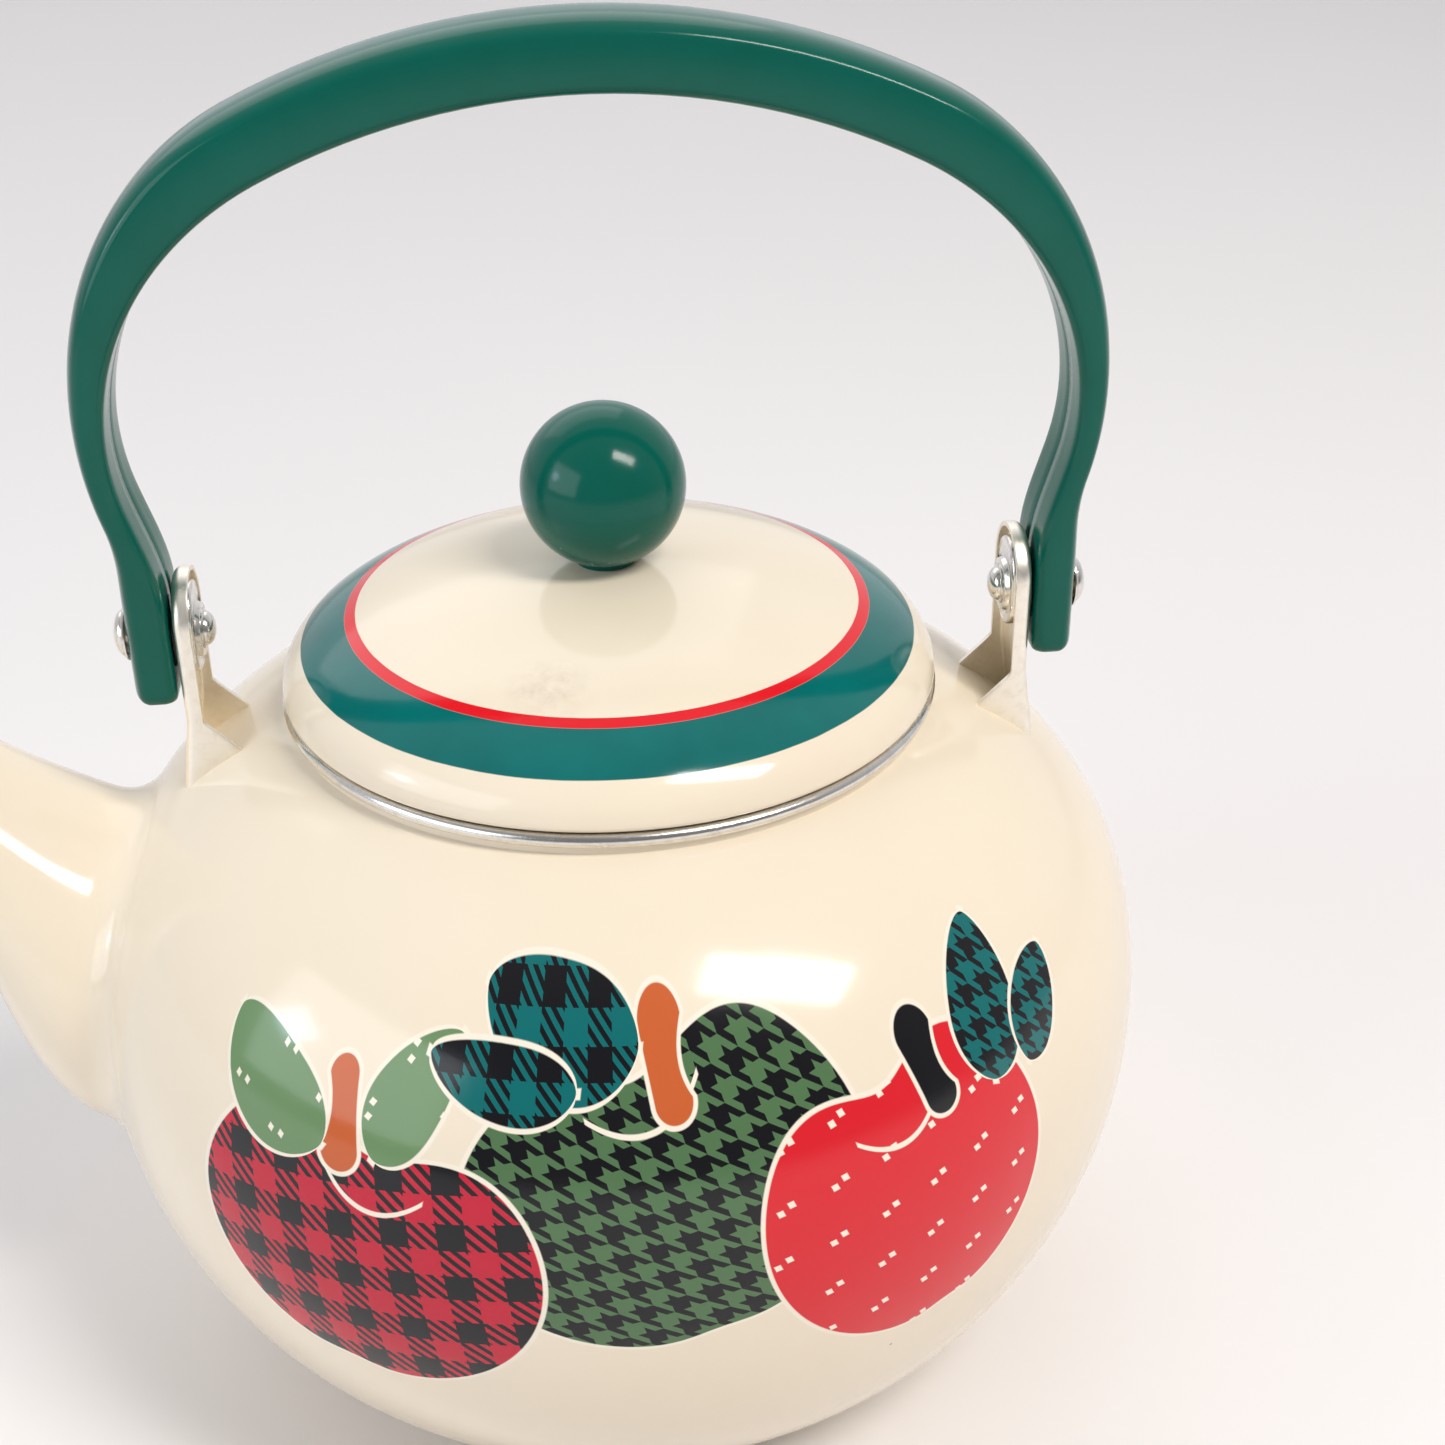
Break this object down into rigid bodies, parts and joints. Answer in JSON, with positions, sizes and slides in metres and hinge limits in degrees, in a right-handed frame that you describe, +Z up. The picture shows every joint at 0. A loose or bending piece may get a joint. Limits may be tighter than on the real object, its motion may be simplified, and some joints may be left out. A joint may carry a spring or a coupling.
{
  "type": "kettle",
  "caption": "Enamelled steel stove-top kettle with a wide-rooted curved spout, a swinging bail handle on riveted ears and a lift-off domed lid with a ball knob.",
  "frame": {"origin": "centre of the flat base, on the surface that the kettle stands on", "axes": "+Z up; the spout points to -X; the handle swings about an axis along X"},
  "size_m": [0.2504, 0.2, 0.2543],
  "materials": {
    "enamel_cream": "glossy cream enamel on steel",
    "bright_steel": "polished stainless steel",
    "green_plastic": "glossy dark green moulding",
    "brass": "turned",
    "dark_fibre": "matt"
  },
  "bodies": {
    "kettle": {"body_shell": "enamel_cream", "mouth_rim": "bright_steel", "spout": "enamel_cream", "bracket_left": "bright_steel", "bracket_right": "bright_steel", "backing_plate_left": "bright_steel", "backing_plate_right": "bright_steel", "rivet_left": "bright_steel", "rivet_right": "bright_steel", "spacer_left": "dark_fibre", "spacer_right": "dark_fibre"},
    "handle": {"handle": "green_plastic", "pivot_bush_left": "brass", "pivot_bush_right": "brass"},
    "lid": {"lid_shell": "enamel_cream", "lid_collar": "enamel_cream", "knob": "green_plastic", "knob_insert": "brass", "knob_washer": "bright_steel", "knob_screw": "bright_steel"}
  },
  "joints": [
    {"name": "handle_swing", "type": "hinge", "parent": "kettle", "child": "handle", "pos_m": [0, 0, 0.14934], "axis": [1, 0, 0], "range_deg": [-107, 107]},
    {"name": "lid_lift", "type": "slide", "parent": "kettle", "child": "lid", "axis": [0, 0, 1], "range_m": [0, 0.045]}
  ]
}
